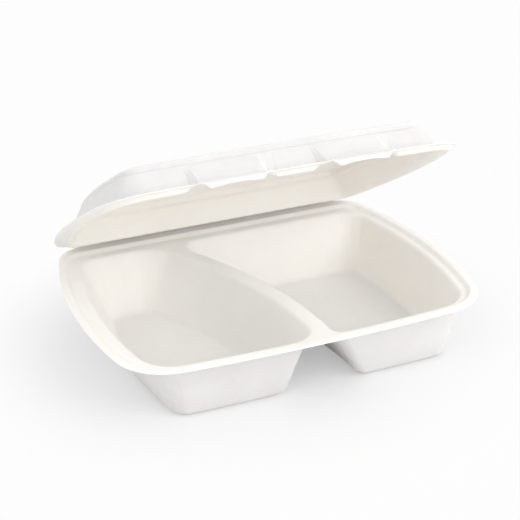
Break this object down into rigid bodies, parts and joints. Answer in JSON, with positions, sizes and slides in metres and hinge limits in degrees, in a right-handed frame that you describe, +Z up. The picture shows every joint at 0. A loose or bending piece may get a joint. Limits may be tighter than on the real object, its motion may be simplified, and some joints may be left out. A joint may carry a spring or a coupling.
{
  "type": "hinged-lid meal box",
  "caption": "Moulded-pulp meal box: a tray whose compartments are parted by a curved divider, and a shallow hinged lid with locking bulges along its front edge.",
  "frame": {"origin": "on the plane that the tray rests on, below the middle of the tray's rim outline", "axes": "+X along the hinge to the right seen from the front, towards the large compartment; +Y from the front edge to the hinge; +Z up"},
  "size_m": [0.246, 0.1982, 0.1467],
  "materials": {
    "tray_pulp": "matte moulded pulp",
    "lid_pulp": "matte moulded pulp"
  },
  "bodies": {
    "tray": {"base_tray": "tray_pulp"},
    "lid": {"lid": "lid_pulp"}
  },
  "joints": [
    {"name": "lid_crease", "type": "hinge", "parent": "tray", "child": "lid", "pos_m": [0, 0.099, 0.043], "axis": [-1, 0, 0], "range_deg": [-29.5, 150.5]}
  ]
}
